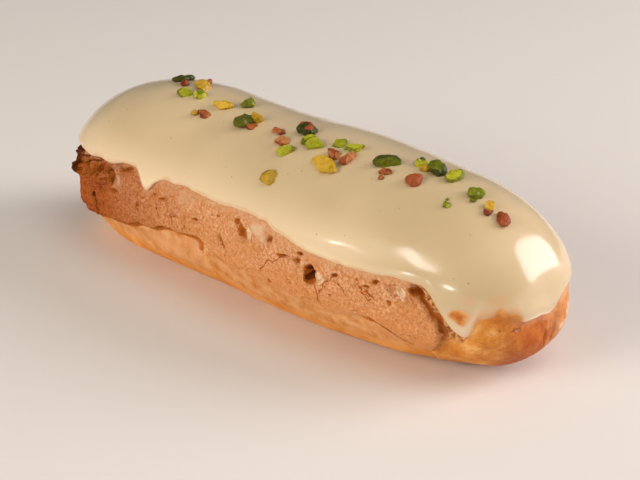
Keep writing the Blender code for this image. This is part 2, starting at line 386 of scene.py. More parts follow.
# %% Holes, cracks and burnt lumps
# A hole has brown painted shade on its left wall, and some have pale painted light on their right wall:
# (place, height, half width, half height, depth, lean in degrees, how brown, how pale).
HOLES = [
    (-50.6, 19.6, 0.5, 3.2, 1.8, 0, 1), (-45.3, 21, 1.2, 1.3, 1, 20, 0.9),
    (-41.6, 22.2, 1.2, 0.7, 0.9, -20, 0.9), (-33.8, 24.7, 1.7, 0.5, 0.8, 25, 0.9),
    (-40, 20.6, 0.8, 1.9, 1, 10, 0.9), (-38.7, 21.9, 2.2, 2.4, 0.5, 10, 0),
    (-37.6, 18.6, 1.4, 0.5, 0.6, 0, 0.8), (-47.6, 11.5, 0.6, 4.4, 0.8, 5, 1.2),
    (-52.2, 16.6, 1.4, 0.5, 0.6, -10, 0.6), (-29.4, 17.9, 0.4, 0.6, 0.4, 0, 0.7),
    (-21.4, 21.5, 1.5, 0.35, 0.5, 20, 0.6), (-24.6, 21.6, 0.5, 0.4, 0.4, -30, 0.7),
    (-18, 18.4, 0.7, 0.3, 0.4, 10, 0.6), (-15, 17, 0.4, 0.8, 0.4, 0, 0.5, 0.2),
    (-11.6, 19.8, 0.7, 0.4, 0.5, 0, 1), (-5, 22.6, 0.5, 0.4, 0.4, 0, 0.6),
    (0.9, 23.3, 0.8, 0.7, 0.8, 25, 0.7, 0.3), (2.6, 21.6, 1, 2, 1.3, 28, 0.7),
    (4, 22, 1.5, 1.8, 0.3, 28, 0, 0.5), (10.6, 22.6, 0.6, 1, 1, 0, 0.6, 0.4),
    (-10.2, 14.3, 0.7, 2.2, 1, 50, 1.3), (-10.9, 12.8, 1.1, 1.7, 0.3, 45, 0, 0.45),
    (-11.9, 12.4, 0.9, 3.4, 0.5, 12, 0.45), (-3.6, 17.4, 0.5, 1.9, 0.9, 30, 0.6, 0.3),
    (14.9, 20.3, 1.7, 0.35, 0.9, 8, 0.85), (18.6, 20.4, 1.3, 0.9, 0.9, 0, 0.5, 0.6),
    (21.5, 19.2, 1, 1.4, 1.9, -20, 1.1), (21.7, 17.5, 1, 1.7, 1.7, 20, 1.1),
    (22.9, 18.4, 2, 1.4, 0.8, 0, 0, 0.6), (19, 22, 0.8, 0.5, 0.6, 0, 1), (28, 20, 0.6, 0.6, 0.7, 0, 0.8),
    (37.4, 21.2, 0.9, 0.6, 1, 10, 0.8, 0.2), (35.6, 19.8, 0.9, 0.3, 0.5, 0, 0.8),
    (41.5, 20.2, 1.9, 1.2, 1, -20, 0.3, 1), (45.6, 20.9, 1.6, 0.8, 1.2, -35, 0.9, 0.5),
    (40.6, 17.6, 0.5, 0.8, 0.5, 10, 0.7), (33, 20.6, 0.4, 0.4, 0.4, 0, 0.8),
    (27, 15.6, 0.4, 0.4, 0.3, 0, 0.6), (10.2, 12.6, 0.5, 0.7, 0.5, 20, 0.7, 0.4),
    (52.6, 13.5, 0.6, 0.5, 0.5, 20, 0.8), (53.7, 12.4, 0.7, 0.6, 0.6, 0, 0.9),
    (54.5, 11, 0.6, 0.5, 0.5, 0, 0.8), (52.7, 11.8, 0.5, 0.4, 0.4, 0, 0.7),
    (55.3, 12.2, 0.4, 0.4, 0.4, 0, 0.6), (56.6, 9.6, 0.7, 0.3, 0.3, 0, 0.5),
    (64.5, 14.4, 0.9, 0.6, 0.4, 20, 0.5, 0.4), (61.4, 15.2, 0.4, 0.3, 0.3, 0, 0.4),
    (76.7, 8, 0.6, 1.1, 1, 0, 0.9, 0.3), (72.4, 11, 0.35, 3.6, 0.45, 4, 0.3),
    (75, 11.2, 0.4, 3.4, 0.5, -5, 0.35, 0.3), (78.3, 11, 0.4, 4, 0.5, 4, 0.2, 0.3),
    (82, 12, 0.45, 4, 0.5, -4, 0.15, 0.3), (94, 16, 1.8, 1.4, 1.4, 20, 0.8, 0.5),
    (106, 18.5, 2, 0.8, 1.2, -15, 0.8), (118, 15, 0.5, 2.4, 1, 10, 0.9),
    (136, 14.5, 1.4, 1.3, 1.4, 30, 0.8, 0.6), (149, 18, 2.2, 0.6, 1, 8, 0.8),
    (166, 19, 1, 1, 1, 0, 0.7, 0.4), (181, 17.5, 1.4, 1.7, 1.5, -20, 0.9, 0.6),
    (196, 14, 0.4, 2.6, 1, 5, 1), (208, 19, 1.4, 1, 1, 0, 0.9),
]
# Each crack is a line of (place, height).
CRACKS = [
    [(8.6, 15.4), (9.8, 17), (11, 18.2), (12.4, 18.6), (14.6, 20.2)],
    [(22.6, 17.2), (23.4, 15.2), (23.8, 12.4)], [(23.6, 14.8), (25, 16.4), (25.8, 18.2), (28, 20)],
    [(29, 18.6), (30.6, 17)], [(33.6, 19.4), (34.8, 18.2), (36, 16.8)], [(35.4, 19), (36.8, 17.8)],
    [(-46, 21), (-44.2, 18.4), (-43.6, 16)], [(-20.6, 21.2), (-19.4, 19), (-19, 16.6)],
    [(-23.9, 20), (-23.4, 17.4)], [(-29.6, 18.6), (-30.2, 17.2), (-29.4, 16.2)],
    [(35.6, 12.6), (38.6, 10.9), (42.4, 8.6)], [(104, 18.5), (110, 16.8), (115, 17.4)],
    [(136, 14.5), (131, 17.4), (127, 16.6)], [(181, 17.5), (186, 19), (192, 17)], [(166, 19), (161, 16)],
]
# (place, height, half width, half height, rise, how burnt)
LUMPS = [
    (-54.6, 21, 1.2, 5, 1.8, 1.4), (-60, 21, 2.6, 2.6, 0.6, 0.6), (-47.6, 22, 2.4, 2, 1.6, 0.3),
    (-37.4, 23.6, 4, 1.3, 1.2, 0.1), (-47.6, 18, 2, 2.4, 0.9, 0.1), (-53, 11, 3.4, 3.4, 0.6, 0.1),
    (81, 12, 6.5, 7, 0.8, 0), (-55.4, 23.2, 1.3, 2.4, 1.2, 1.4), (-43.4, 19.6, 1.8, 1.6, 0.8, 0.1),
    (-18.4, 20.2, 2.4, 1.4, 0.7, 0), (-17, 16.4, 1.8, 1.6, 0.5, 0), (43.6, 19.2, 1.4, 1, 0.6, 0),
    (-68, 19, 2.6, 3, 0.6, 0.5), (214, 20, 2.6, 2, 0.7, 0.6), (156, 21, 3, 1.2, 0.6, 0.3),
]
SCORCHED_PLACE = -56.0


def oval_share(place, height, spot, ragged, edge):
    """1 in the middle of a leaning oval on the shell, 0 outside it."""
    centre, level, half_width, half_height, lean = spot
    lean = math.radians(lean)
    along = away_round(centre, place)
    up = height - level
    across = (along * math.cos(lean) + up * math.sin(lean)) / half_width
    down = (up * math.cos(lean) - along * math.sin(lean)) / half_height
    return fade(edge, 1.15, np.hypot(across, down) + ragged)


def crack_side(place, height, line):
    """Distance in mm from a crack, less than 0 on one side of it; it is exactly 0 on the line."""
    nearest = np.full(len(place), 99.0)
    for (from_place, from_height), (to_place, to_height) in zip(line, line[1:]):
        run = np.array([to_place - from_place, to_height - from_height])
        offset = np.stack([away_round(from_place, place), height - from_height])
        share = np.clip((offset * run[:, None]).sum(axis=0) / (run @ run), 0, 1)
        away = np.hypot(*(offset - run[:, None] * share))
        side = np.where(run[0] * offset[1] > run[1] * offset[0], 1, -1)
        nearest = np.where(away < np.abs(nearest), side * away, nearest)
    return nearest


# %% Wrapping the shell and giving it its surface
def shell_elevation(place, out, row):
    """Elevation of every point: the wall's rows follow the icing's edge and the crust's foot."""
    rim = elevation_at(place, icing_edge(place) + RIM_ABOVE_EDGE)
    foot = elevation_at(place, crust_foot(place))
    wall = np.where(
        row < FOOT_ROW,
        rim + (foot - rim) * row / FOOT_ROW,
        foot + (BASE_ELEVATION - foot) * (row - FOOT_ROW) / (SHELL_CELLS[2] - FOOT_ROW),
    )
    pole = np.where(row == 0, 90, -90)
    return np.where(out < 0.999, pole + out * (wall - pole), wall)


def deepen(masks, name, values):
    masks[name] = np.maximum(masks[name], values)


def add_holes(place, height, wander, relief, masks):
    for centre, level, half_width, half_height, depth, lean, brown, *pale in HOLES:
        pale = sum(pale)
        narrow = half_width * (1 - 0.35 * pale)
        hole = (centre, level, half_width, half_height, lean)
        left_side = (centre - 0.45 * half_width, level, narrow, half_height, lean)
        right_side = (centre + 0.6 * half_width, *hole[1:])
        share = oval_share(place, height, hole, 0.3 * wander, 0.7)
        left = oval_share(place, height, left_side, 0.5 * wander, 0.4)
        right = oval_share(place, height, right_side, 0.5 * wander, 0.4)
        relief -= depth * share
        # Painted shade on the hole's left wall and painted light on its right wall.
        deepen(masks, "scorch_and_shade", brown * left)
        deepen(masks, "pale", pale * right)


def add_lumps(place, height, wander, relief, masks):
    for *spot, rise, burnt in LUMPS:
        share = oval_share(place, height, (*spot, 0), 0.3 * wander, 0.3)
        relief += rise * share * (1 + 0.25 * wander)
        deepen(masks, "scorch_and_shade", burnt * np.minimum(1.5 * share, 1))


def add_cracks(place, height, wander, relief, masks):
    for line in CRACKS:
        side = crack_side(place, height, line)
        away = np.abs(side)
        relief -= 0.15 * fade(0.1, 0.6, away + 0.3 * wander)
        masks["crack_side"] = np.where(away < np.abs(masks["crack_side"]), side, masks["crack_side"])
        deepen(masks, "crack", fade(0.7, 1, away))


def add_scorches(place, height, lumpy, relief, masks):
    """Lumps all over the rough upper part of the far end, with sunk crevices painted dark for shade and
    scorch.
    """
    away = np.abs(away_round(SCORCHED_PLACE, place))
    rough = fade(10, 22, away) * ease(13, 18, height)
    crevice = fade(0.02, 0.14, np.abs(lumpy)) * rough
    relief += 1.2 * lumpy * rough - 0.7 * crevice
    # Crevices painted dark, for the shade in them and for scorch.
    deepen(masks, "scorch_and_shade", 1.1 * crevice)


# Where the oven browned the crust most, plus painted shade on the far end and the near end: (place, share).
BROWNED_AND_SHADED = [
    (-TIP, 1), (-46, 0.9), (-34, 0.55), (-20, 0.2), (-8, 0), (40, 0), (60, 0), (65, 0.8), (71, 1),
    (76, 0.5), (94, 0.4), (140, 0.2), (180, 0.5),
]
# Thin glaze that ran on below the icing's edge: (place, height, half width, half height, strength).
FILMS = [
    (-15, 23.6, 5, 2.4, 0.7), (7.2, 23.3, 3.4, 2.8, 1), (14, 22.4, 8, 1.6, 0.3), (-21.5, 24, 2.6, 2, 0.5),
    (-52.5, 23, 3, 2.6, 0.9), (-37.4, 21.4, 2.2, 2.6, 0.9), (82.5, 10, 9, 9, 0.95), (100, 19, 8, 1.8, 0.5),
    (150, 21, 9, 2, 0.5),
]


def film_share(place, height, wander):
    """Glaze on the crust: a little along the whole edge, more in a few places."""
    film = 0.6 * fade(0.4, 1.9, icing_edge(place) - height + 0.8 * wander)
    film = film * (1 - bell_round(60, 5, place))
    for *spot, strength in FILMS:
        film = np.maximum(film, strength * oval_share(place, height, (*spot, 0), 0.6 * wander, 0.3))
    return film


def make_shell(material):
    box = gridded_box(SHELL_CELLS)
    place, out, row = lay_out(box, SHELL_CELLS)
    skin = skin_point(place, shell_elevation(place, out, row))
    height = skin[:, 2]
    wander = noise_at(skin, 1.6, 1) * 0.7 + noise_at(skin, 0.7, 2) * 0.3
    form, on_choux, bare, tear = broad_form(place, height, 0.8 * wander)
    open_air = ease(-1, 0.5, icing_edge(place) - height) * ease(0.5, 3, height)
    masks = {name: np.zeros(len(place)) for name in ("scorch_and_shade", "pale", "crack")}
    masks["crack_side"] = np.full(len(place), 2.0)
    relief = np.zeros(len(place))
    for add_feature in (add_holes, add_lumps, add_cracks):
        add_feature(place, height, wander, relief, masks)
    add_scorches(place, height, noise_at(skin, 2.8, 8), relief, masks)
    crumb = 0.14 * noise_at(skin, 2.4, 3) + 0.14 * noise_at(skin, 1.1, 4) + 0.05 * noise_at(skin, 0.6, 5)
    swell = 0.28 * noise_at(skin, 9, 6) + 0.14 * noise_at(skin, 4, 7)
    rough = 1 + 1.2 * value_round(BROWNED_AND_SHADED, place)
    relief = form + (relief + swell + crumb * rough * (0.3 + 0.7 * (1 - on_choux))) * open_air
    # A painted shadow along the torn side of the crust, where its edge stands over the choux.
    torn = tear * fade(0.4, 1.8, beyond_tear(place, height) + 1.6 * wander)
    upper = ease(9, 13, height)
    smeared = np.maximum(tear * upper, 0.9 * oval_share(place, height, SMEARED_SPOT, 0.5 * wander, 0.3))
    below_foot = crust_foot(place) - height
    # A painted shadow in the crease under the crust's ledge.
    ledge_shadow = ease(-0.5, 0.2, below_foot) * fade(0.8, 2.4, below_foot) * (1 - bare)
    deep_ledge = ease(0.5, 0.9, value_round(LEDGE_DEPTH, place))
    # Painted shadow by the torn edge and in the crease under the ledge.
    deepen(masks, "scorch_and_shade", (0.4 + 0.3 * upper) * torn)
    deepen(masks, "scorch_and_shade", 0.7 * ledge_shadow * deep_ledge)
    points = skin + relief[:, None] * skin_normals(skin)
    points[:, 2] = np.maximum(points[:, 2], 0)
    set_points(box, points)
    shell = add_piece("choux_shell_baked", box, material)
    paint(
        shell, crust=1 - on_choux, bare=bare, film=film_share(place, height, wander),
        browned=value_round(BROWNED_AND_SHADED, place), smeared=smeared, **masks,
    )
    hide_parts("choux_shell")
    return shell


# %% [markdown]
# ## Colours and nodes
# Colours are given as sRGB hex values, but a shader works in linear light, so one function
# turns the one into the other. Another adds a node, sets its values and joins its inputs. The rest
# are short names for what the materials use most.

# %% Helpers for materials
def linear(hex_colour):
    """A linear RGBA colour from an sRGB hex value."""
    shares = [int(hex_colour[i : i + 2], 16) / 255 for i in (1, 3, 5)]
    return (*(s / 12.92 if s <= 0.04045 else ((s + 0.055) / 1.055) ** 2.4 for s in shares), 1.0)


def add_node(tree, kind, settings=None, **inputs):
    """Adds a shader node; an input may be a value or the socket of another node to link from."""
    node = tree.nodes.new("ShaderNode" + kind)
    for name, value in (settings or {}).items():
        setattr(node, name, value)
    for name, value in inputs.items():
        key = int(name[1:]) if name[0] == "i" and name[1:].isdigit() else name.replace("_", " ")
        socket = node.inputs[key]
        if isinstance(value, bpy.types.NodeSocket):
            tree.links.new(value, socket)
        else:
            socket.default_value = value
    return node


def new_material(name, **surface):
    """A material with one Principled BSDF, whose plain sockets are set here."""
    material = bpy.data.materials.new(name)
    material.use_nodes = True
    shader = material.node_tree.nodes["Principled BSDF"]
    for key, value in surface.items():
        shader.inputs[key.replace("_", " ")].default_value = value
    return material, material.node_tree, shader


def mask(tree, name):
    return add_node(tree, "Attribute", {"attribute_name": name}).outputs["Fac"]


def own_place(tree):
    return add_node(tree, "TexCoord").outputs["Object"]


def grain(tree, size_mm, detail=2, roughness=0.5):
    """Noise on Object coordinates with lumps of a real size."""
    lumps = {"Scale": 1 / (size_mm * MM), "Detail": detail, "Roughness": roughness}
    return add_node(tree, "TexNoise", Vector=own_place(tree), **lumps).outputs["Fac"]


def ramp(tree, share, *stops):
    """A colour ramp; each stop is (position, hex colour)."""
    node = add_node(tree, "ValToRGB", Fac=share)
    points = node.color_ramp.elements
    while len(points) < len(stops):
        points.new(0.5)
    for point, (position, colour) in zip(points, stops):
        point.position = position
        point.color = linear(colour)
    return node.outputs["Color"]


def mix(tree, share, first, second, blend="MIX"):
    settings = {"data_type": "RGBA", "blend_type": blend}
    first, second = (linear(c) if isinstance(c, str) else c for c in (first, second))
    return add_node(tree, "Mix", settings, i0=share, i6=first, i7=second).outputs[2]


def sum_of(tree, operation, first, second):
    return add_node(tree, "Math", {"operation": operation}, i0=first, i1=second).outputs[0]


def product(tree, first, second):
    return sum_of(tree, "MULTIPLY", first, second)


def between(tree, value, low, high, most=1):
    """Eases from 0 at low to most at high."""
    return add_node(
        tree, "MapRange", {"interpolation_type": "SMOOTHSTEP"},
        Value=value, From_Min=low, From_Max=high, To_Max=most,
    ).outputs[0]


def line_where(tree, value, level, width):
    """1 along the line where a value crosses a level."""
    away = sum_of(tree, "SUBTRACT", value, level)
    away = add_node(tree, "Math", {"operation": "ABSOLUTE"}, i0=away).outputs[0]
    return between(tree, away, width, 0.3 * width)


def bump(tree, height, depth_mm, under=None):
    node = add_node(tree, "Bump", Height=height, Distance=depth_mm * MM, Strength=1.0)
    if under is not None:
        tree.links.new(under, node.inputs["Normal"])
    return node.outputs["Normal"]


def feed(tree, shader, colour, normal, **others):
    """Joins what has been worked out to the shader."""
    for name, socket in {"Base_Color": colour, "Normal": normal, **others}.items():
        tree.links.new(socket, shader.inputs[name.replace("_", " ")])


# %% [markdown]
# ## Baked choux and craquelin
# The crust is butter, sugar and flour baked dry: a matt salmon brown with painted glints where sugar
# grains catch the light, dark where it scorched, and with painted shade in its holes, in its creases
# and on its ends. The choux below it is smoother, tan where it was hidden and golden where the oven
# reached it. Masks in the mesh say which is where.

# %% The baked material
def spots(tree, spacing_mm, radius_share):
    """Small dots, one per cell of about the given size: 1 inside a dot."""
    cells = add_node(tree, "TexVoronoi", Vector=own_place(tree), Scale=1 / (spacing_mm * MM))
    return between(tree, cells.outputs["Distance"], radius_share * 1.3, radius_share * 0.7)


def own_axis(tree, axis):
    return add_node(tree, "SeparateXYZ", Vector=own_place(tree)).outputs[axis]


def golden_choux(tree):
    return ramp(tree, grain(tree, 4, 4, 0.7), (0.32, "#BC681C"), (0.5, "#D68A34"), (0.66, "#E8AC62"))


def baked_pastry():
    material, tree, shader = new_material("baked_craquelin_and_choux", IOR=1.45)
    crust, bare, scorch_and_shade, pale, film, browned, smeared = (
        mask(tree, name) for name in ("crust", "bare", "scorch_and_shade", "pale", "film", "browned", "smeared")
    )
    crumbs = grain(tree, 0.6, 3, 0.65)
    mottle = grain(tree, 6, 2, 0.5)
    fine = grain(tree, 1.6, 3, 0.6)
    ragged = product(tree, sum_of(tree, "SUBTRACT", grain(tree, 0.8, 3, 0.6), 0.5), 0.7)
    crackle = line_where(tree, grain(tree, 1.5, 2, 0.5), 0.5, 0.022)
    crackle = product(tree, crackle, between(tree, grain(tree, 3, 1), 0.5, 0.58))
    biscuit = ramp(tree, crumbs, (0.35, "#C07A48"), (0.5, "#D89868"), (0.65, "#EAB890"))
    biscuit = mix(tree, between(tree, mottle, 0.42, 0.68, 0.5), biscuit, "#D08A4C")
    height = own_axis(tree, "Z")
    biscuit = mix(tree, between(tree, height, 21 * MM, 12 * MM, 0.5), biscuit, "#E09450")
    # Pale dots: painted glints of sugar grains catching the light.
    biscuit = mix(tree, product(tree, spots(tree, 0.9, 0.14), 0.7), biscuit, "#F2CFAC")
    biscuit = mix(tree, product(tree, spots(tree, 2.3, 0.10), 0.7), biscuit, "#9A5428")
    biscuit = mix(tree, product(tree, crackle, 0.6), biscuit, "#A85A24")
    # Darker biscuit where the crust browned, and painted shade on the far and near ends.
    dusky = mix(tree, between(tree, fine, 0.52, 0.6, 0.7), biscuit, "#BC6C28")
    dusky = mix(tree, between(tree, crumbs, 0.46, 0.36, 0.8), dusky, "#9A5626")
    biscuit = mix(tree, browned, biscuit, mix(tree, 1, dusky, "#D89C58", "MULTIPLY"))
    hidden = ramp(tree, grain(tree, 2.8, 3, 0.5), (0.3, "#C0763A"), (0.47, "#D69252"), (0.66, "#E2AA76"))
    hidden = mix(tree, between(tree, crumbs, 0.5, 0.7, 0.4), hidden, "#ECC090")
    hidden = mix(tree, between(tree, mottle, 0.5, 0.62, 0.5), hidden, "#DC9C6C")
    low = between(tree, height, 8 * MM, 3.5 * MM)
    hidden = mix(tree, low, hidden, ramp(tree, mottle, (0.35, "#E28C38"), (0.65, "#F6AE5A")))
    golden = mix(tree, product(tree, spots(tree, 1.5, 0.12), 0.5), golden_choux(tree), "#8C4A1C")
    # The choux is darker where it browned, and painted shade darkens the near end's choux.
    golden = mix(tree, browned, golden, mix(tree, 1, golden, "#D2A058", "MULTIPLY"))
    crumbly = ramp(tree, crumbs, (0.38, "#7E4416"), (0.48, "#BA783C"), (0.62, "#DCAC78"))
    golden = mix(tree, smeared, golden, crumbly)
    colour = mix(tree, crust, mix(tree, bare, hidden, golden), biscuit)
    colour = mix(tree, product(tree, film, 0.75), colour, "#D8A276")
    colour = mix(tree, between(tree, film, 0.6, 1, 0.6), colour, "#E4C6A2")
    # Pale crumb painted on the lit right walls of holes, as painted light.
    lit_crumb = ramp(tree, crumbs, (0.35, "#C4966A"), (0.6, "#F0D4B4"))
    colour = mix(tree, between(tree, sum_of(tree, "ADD", pale, ragged), 0.25, 0.55), colour, lit_crumb)
    # Brown for scorch and for painted shade in holes, crevices, under the ledge and beside the torn edge.
    ragged_scorch_and_shade = sum_of(tree, "ADD", scorch_and_shade, ragged)
    toasted_and_shaded = ramp(tree, fine, (0.35, "#964C12"), (0.65, "#C07028"))
    # The darkest brown paints burnt crust and deep painted shade, such as the gap beside the torn crust.
    burnt = ramp(tree, fine, (0.35, "#381404"), (0.65, "#6C320A"))
    colour = mix(tree, between(tree, ragged_scorch_and_shade, 0.22, 0.5), colour, toasted_and_shaded)
    colour = mix(tree, between(tree, ragged_scorch_and_shade, 0.78, 1.02, 0.9), colour, burnt)
    wobble = product(tree, sum_of(tree, "SUBTRACT", grain(tree, 1.2, 3, 0.6), 0.5), 1.6)
    split = line_where(tree, sum_of(tree, "ADD", mask(tree, "crack_side"), wobble), 0, 0.2)
    split = product(tree, split, mask(tree, "crack"))
    colour = mix(tree, split, colour, "#A0541E")
    wet = sum_of(tree, "MAXIMUM", film, product(tree, bare, 0.5))
    roughness = add_node(tree, "MapRange", Value=wet, To_Min=0.7, To_Max=0.32).outputs[0]
    shine = add_node(tree, "MapRange", Value=wet, To_Min=0.15, To_Max=0.5).outputs[0]
    coarse = product(tree, crust, sum_of(tree, "ADD", 1, product(tree, browned, 1.5)))
    rough = bump(tree, product(tree, crumbs, coarse), 0.4)
    feed(tree, shader, colour, bump(tree, fine, 0.3, rough), Roughness=roughness, Specular_IOR_Level=shine)
    return material


shell = make_shell(baked_pastry())
print("shell:", len(shell.data.polygons) * 2, "triangles")

# %% [markdown]
# ## The icing
# Poured fondant finds its own surface: it is smooth but never flat, it rounds over at its edge, and
# where it ran thin the pastry shows through. The cube's top is the icing's outside, its base the
# inside that lies on the bun, and its walls are bent into a half round rim.

# %% The icing's form
ICING_CELLS = (300, 100, 12)
# Rings crowd towards the rim, where the surface bends most.
RING_CROWDING = 0.8
# How thick the icing's edge is: (place, mm).
EDGE_BEAD = [
    (-TIP, 1.2), (-44, 1.1), (-30, 0.7), (-20, 0.45), (-8, 0.25), (36, 0.25), (46, 0.6), (54, 0.5),
    (56.5, 0.1), (58, -0.15), (64, -0.15), (67, 0.6), (72, 0.6), (76, 0.3), (86, 0.3), (94, 1),
]
# Broad swells and hollows of the poured icing: (x, y, spread, rise).
SWELLS = [
    (-34, -6, 12, 0.25), (-12, -9, 9, -0.5), (10, 4, 11, 0.2), (31, -14, 8, -0.15), (46, 2, 10, 0.2),
    (60, -2, 7, -1.1),
]
# Fuller places of the icing's side: (place, height, half width, half height, rise).
BULGES = [(78, 19.5, 15, 6, 0.65), (78, 30, 15, 5, -0.25)]
# Places where thin icing lets the pastry show: (place, height, half width, half height, how much).
THIN_SPOTS = [
    (54.2, 18, 2.4, 2, 1.7), (54.8, 16.8, 1.2, 1.6, 0.9), (55.6, 21.4, 3.2, 2.4, 0.35),
    (61, 21, 5.5, 3.4, 0.35), (-55, 25, 7, 2.4, 0.3),
]
# How much of the pastry shows at the icing's edge, and over how many mm: (place, share), (place, mm).
EDGE_THIN = [
    (-TIP, 0.45), (-48, 0.4), (-36, 0.35), (46, 0.35), (52, 0.4), (55, 0.45), (57.5, 1), (64.5, 1),
    (67.5, 0.15), (80, 0.35),
]
EDGE_REACH = [(-TIP, 2), (-48, 1.8), (-30, 1.4), (53, 1.3), (57, 4.5), (64, 4.5), (68, 1.2)]


def icing_swell(x, y):
    return sum(rise * np.exp(-((x - sx) ** 2 + (y - sy) ** 2) / spread**2) for sx, sy, spread, rise in SWELLS)


def make_icing(material):
    box = gridded_box(ICING_CELLS)
    place, out, row = lay_out(box, ICING_CELLS)
    edge = icing_edge(place)
    bead = value_round(EDGE_BEAD, place)
    seat = -value_round(ICING_LIP, place)
    round_rim = row / ICING_CELLS[2] * math.pi
    rim = elevation_at(place, edge + 0.5 * (1 - np.sin(round_rim)))
    skin = skin_point(place, 90 + out**RING_CROWDING * (rim - 90))
    above = skin[:, 2] - edge
    outside = -fade(0, 3.2, above) ** 2 * (-seat - bead).clip(0) - ALLOWANCE
    outside += icing_swell(skin[:, 0], skin[:, 1]) * ease(0.5, 5, above)
    outside += 0.12 * noise_at(skin, 7, 11) * ease(0, 3, above)
    for centre, level, half_width, half_height, rise in BULGES:
        bulge = bell_round(centre, half_width, place) * np.exp(-(((skin[:, 2] - level) / half_height) ** 2))
        outside += rise * bulge * ease(0, 2.5, above)
    inside = -ICING_THICKNESS + (seat - 0.5 + ICING_THICKNESS) * fade(0.5, 3, above)
    share = (1 - np.cos(round_rim)) / 2
    offset = outside + (inside - outside) * share
    set_points(box, skin + offset[:, None] * skin_normals(skin))
    wander = noise_at(skin, 2, 12)
    up_edge = above / value_round(EDGE_REACH, place) + 0.3 * wander
    thin = value_round(EDGE_THIN, place) * fade(0.1, 1, up_edge)
    for *spot, strength in THIN_SPOTS:
        thin = np.maximum(thin, strength * oval_share(place, skin[:, 2], (*spot, 0), 0.4 * wander, 0.1))
    # A painted highlight along the lip, where its bead meets the light, and a pale run down the drip.
    lip_highlight = bell_round(70.5, 4, place) * fade(0.3, 1.1, above)
    pale_run = 0.7 * bell_round(55.2, 2.6, place) * fade(1.5, 6.5, above)
    icing = add_piece("icing_poured", box, material)
    paint(icing, thin=thin, rim=np.maximum(lip_highlight, pale_run))
    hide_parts("icing")
    return icing


# %% [markdown]
# ### Its material
# Fondant is fine sugar in syrup, here with pistachio paste: it is glossy, it lets light a little way
# in, and ground nut leaves fine dark specks in it.

# %% The fondant material
def poured_fondant():
    material, tree, shader = new_material(
        "poured_pistachio_fondant", Roughness=0.22, IOR=1.46, Subsurface_Scale=0.0012,
        Subsurface_Radius=(1.0, 0.75, 0.4), Coat_Roughness=0.11, Coat_IOR=1.5,
    )
    colour = ramp(tree, grain(tree, 16, 1), (0.35, "#CDB68C"), (0.65, "#D5BE95"))
    # Painted light: the far part's lower icing is lighter and warmer, as where the front light falls.
    low = between(tree, own_axis(tree, "Z"), 33 * MM, 24 * MM)
    low = product(tree, low, between(tree, own_axis(tree, "X"), 48 * MM, 22 * MM))
    colour = mix(tree, low, colour, "#EAD2AC")
    colour = mix(tree, product(tree, spots(tree, 3.4, 0.045), 0.6), colour, "#7A5A34")
    thin = mask(tree, "thin")
    colour = mix(tree, between(tree, thin, 0.05, 0.5, 0.85), colour, "#D6AA7C")
    # The rim mask paints a highlight along the lip, and the pale run.
    colour = mix(tree, product(tree, mask(tree, "rim"), 0.7), colour, "#F6DCC0")
    bare = between(tree, thin, 0.35, 1)
    colour = mix(tree, bare, colour, golden_choux(tree))
    colour = mix(tree, between(tree, thin, 1.05, 1.6, 0.8), colour, "#B85A20")
    covered = sum_of(tree, "SUBTRACT", 1, bare)
    coat, inside = product(tree, covered, 0.9), product(tree, covered, 0.2)
    dimples = bump(tree, grain(tree, 3, 1), 0.05)
    feed(tree, shader, colour, dimples, Coat_Weight=coat, Subsurface_Weight=inside)
    return material


icing = make_icing(poured_fondant())
print("icing:", len(icing.data.polygons) * 2, "triangles")

# %% [markdown]
# ## Chopped pistachios
# A kernel is an oval with a dark green outside under a thin purple skin; chopped, it breaks along
# flat faces of bright green or yellow. Each bit starts as a rounded blob, planes cut faces off it,
# and the cut faces take the second material. Flakes of skin are thin, curved and red brown.

# %% One bit of nut
ICING_TOP = BVHTree.FromObject(icing, bpy.context.evaluated_depsgraph_get())
SUNK = 0.26
# A bit's blob, before its sides are broken off, in shares of its size, and its mesh's cells in mm.
BLOB_RADIUS = 0.56
BIT_CELL = 0.35
WELL_ABOVE = 80.0
SHADE_SEED = 500


def chopped_bit(length, width, thickness, cuts, seed):
    """A blob of the given size in mm with flat faces broken off it, centred on the origin."""
    chance = np.random.default_rng(seed)
    bit = bmesh.new()
    bmesh.ops.create_icosphere(bit, subdivisions=2, radius=BLOB_RADIUS)
    for _ in range(cuts):
        turn, lean = chance.uniform(0, math.tau), chance.uniform(-0.3, 1.2)
        across = Vector((math.cos(turn) * math.cos(lean), math.sin(turn) * math.cos(lean), math.sin(lean)))
        whole = bit.verts[:] + bit.edges[:] + bit.faces[:]
        cut = bmesh.ops.bisect_plane(
            bit, geom=whole, plane_co=across * chance.uniform(0.2, 0.4), plane_no=across, clear_outer=True
        )
        rim = [part for part in cut["geom_cut"] if isinstance(part, bmesh.types.BMEdge)]
        for face in bmesh.ops.holes_fill(bit, edges=rim, sides=0)["faces"]:
            face.material_index = 1
    bmesh.ops.scale(bit, vec=(length, width, thickness), verts=bit.verts)
    bmesh.ops.triangulate(bit, faces=bit.faces)
    for _ in range(2):
        long_edges = [e for e in bit.edges if e.calc_length() > BIT_CELL]
        bmesh.ops.subdivide_edges(bit, edges=long_edges, cuts=1)
        bmesh.ops.triangulate(bit, faces=bit.faces)
    bit.normal_update()
    shift = Vector((seed * 3.7, 0, 0))
    for vertex, normal in [(v, v.normal.copy()) for v in bit.verts]:
        coarse = 0.32 * noise.noise(vertex.co / 1.3 + shift)
        vertex.co += normal * (coarse + 0.14 * noise.noise(vertex.co / 0.45 - shift))
    bmesh.ops.recalc_face_normals(bit, faces=bit.faces)
    return bit


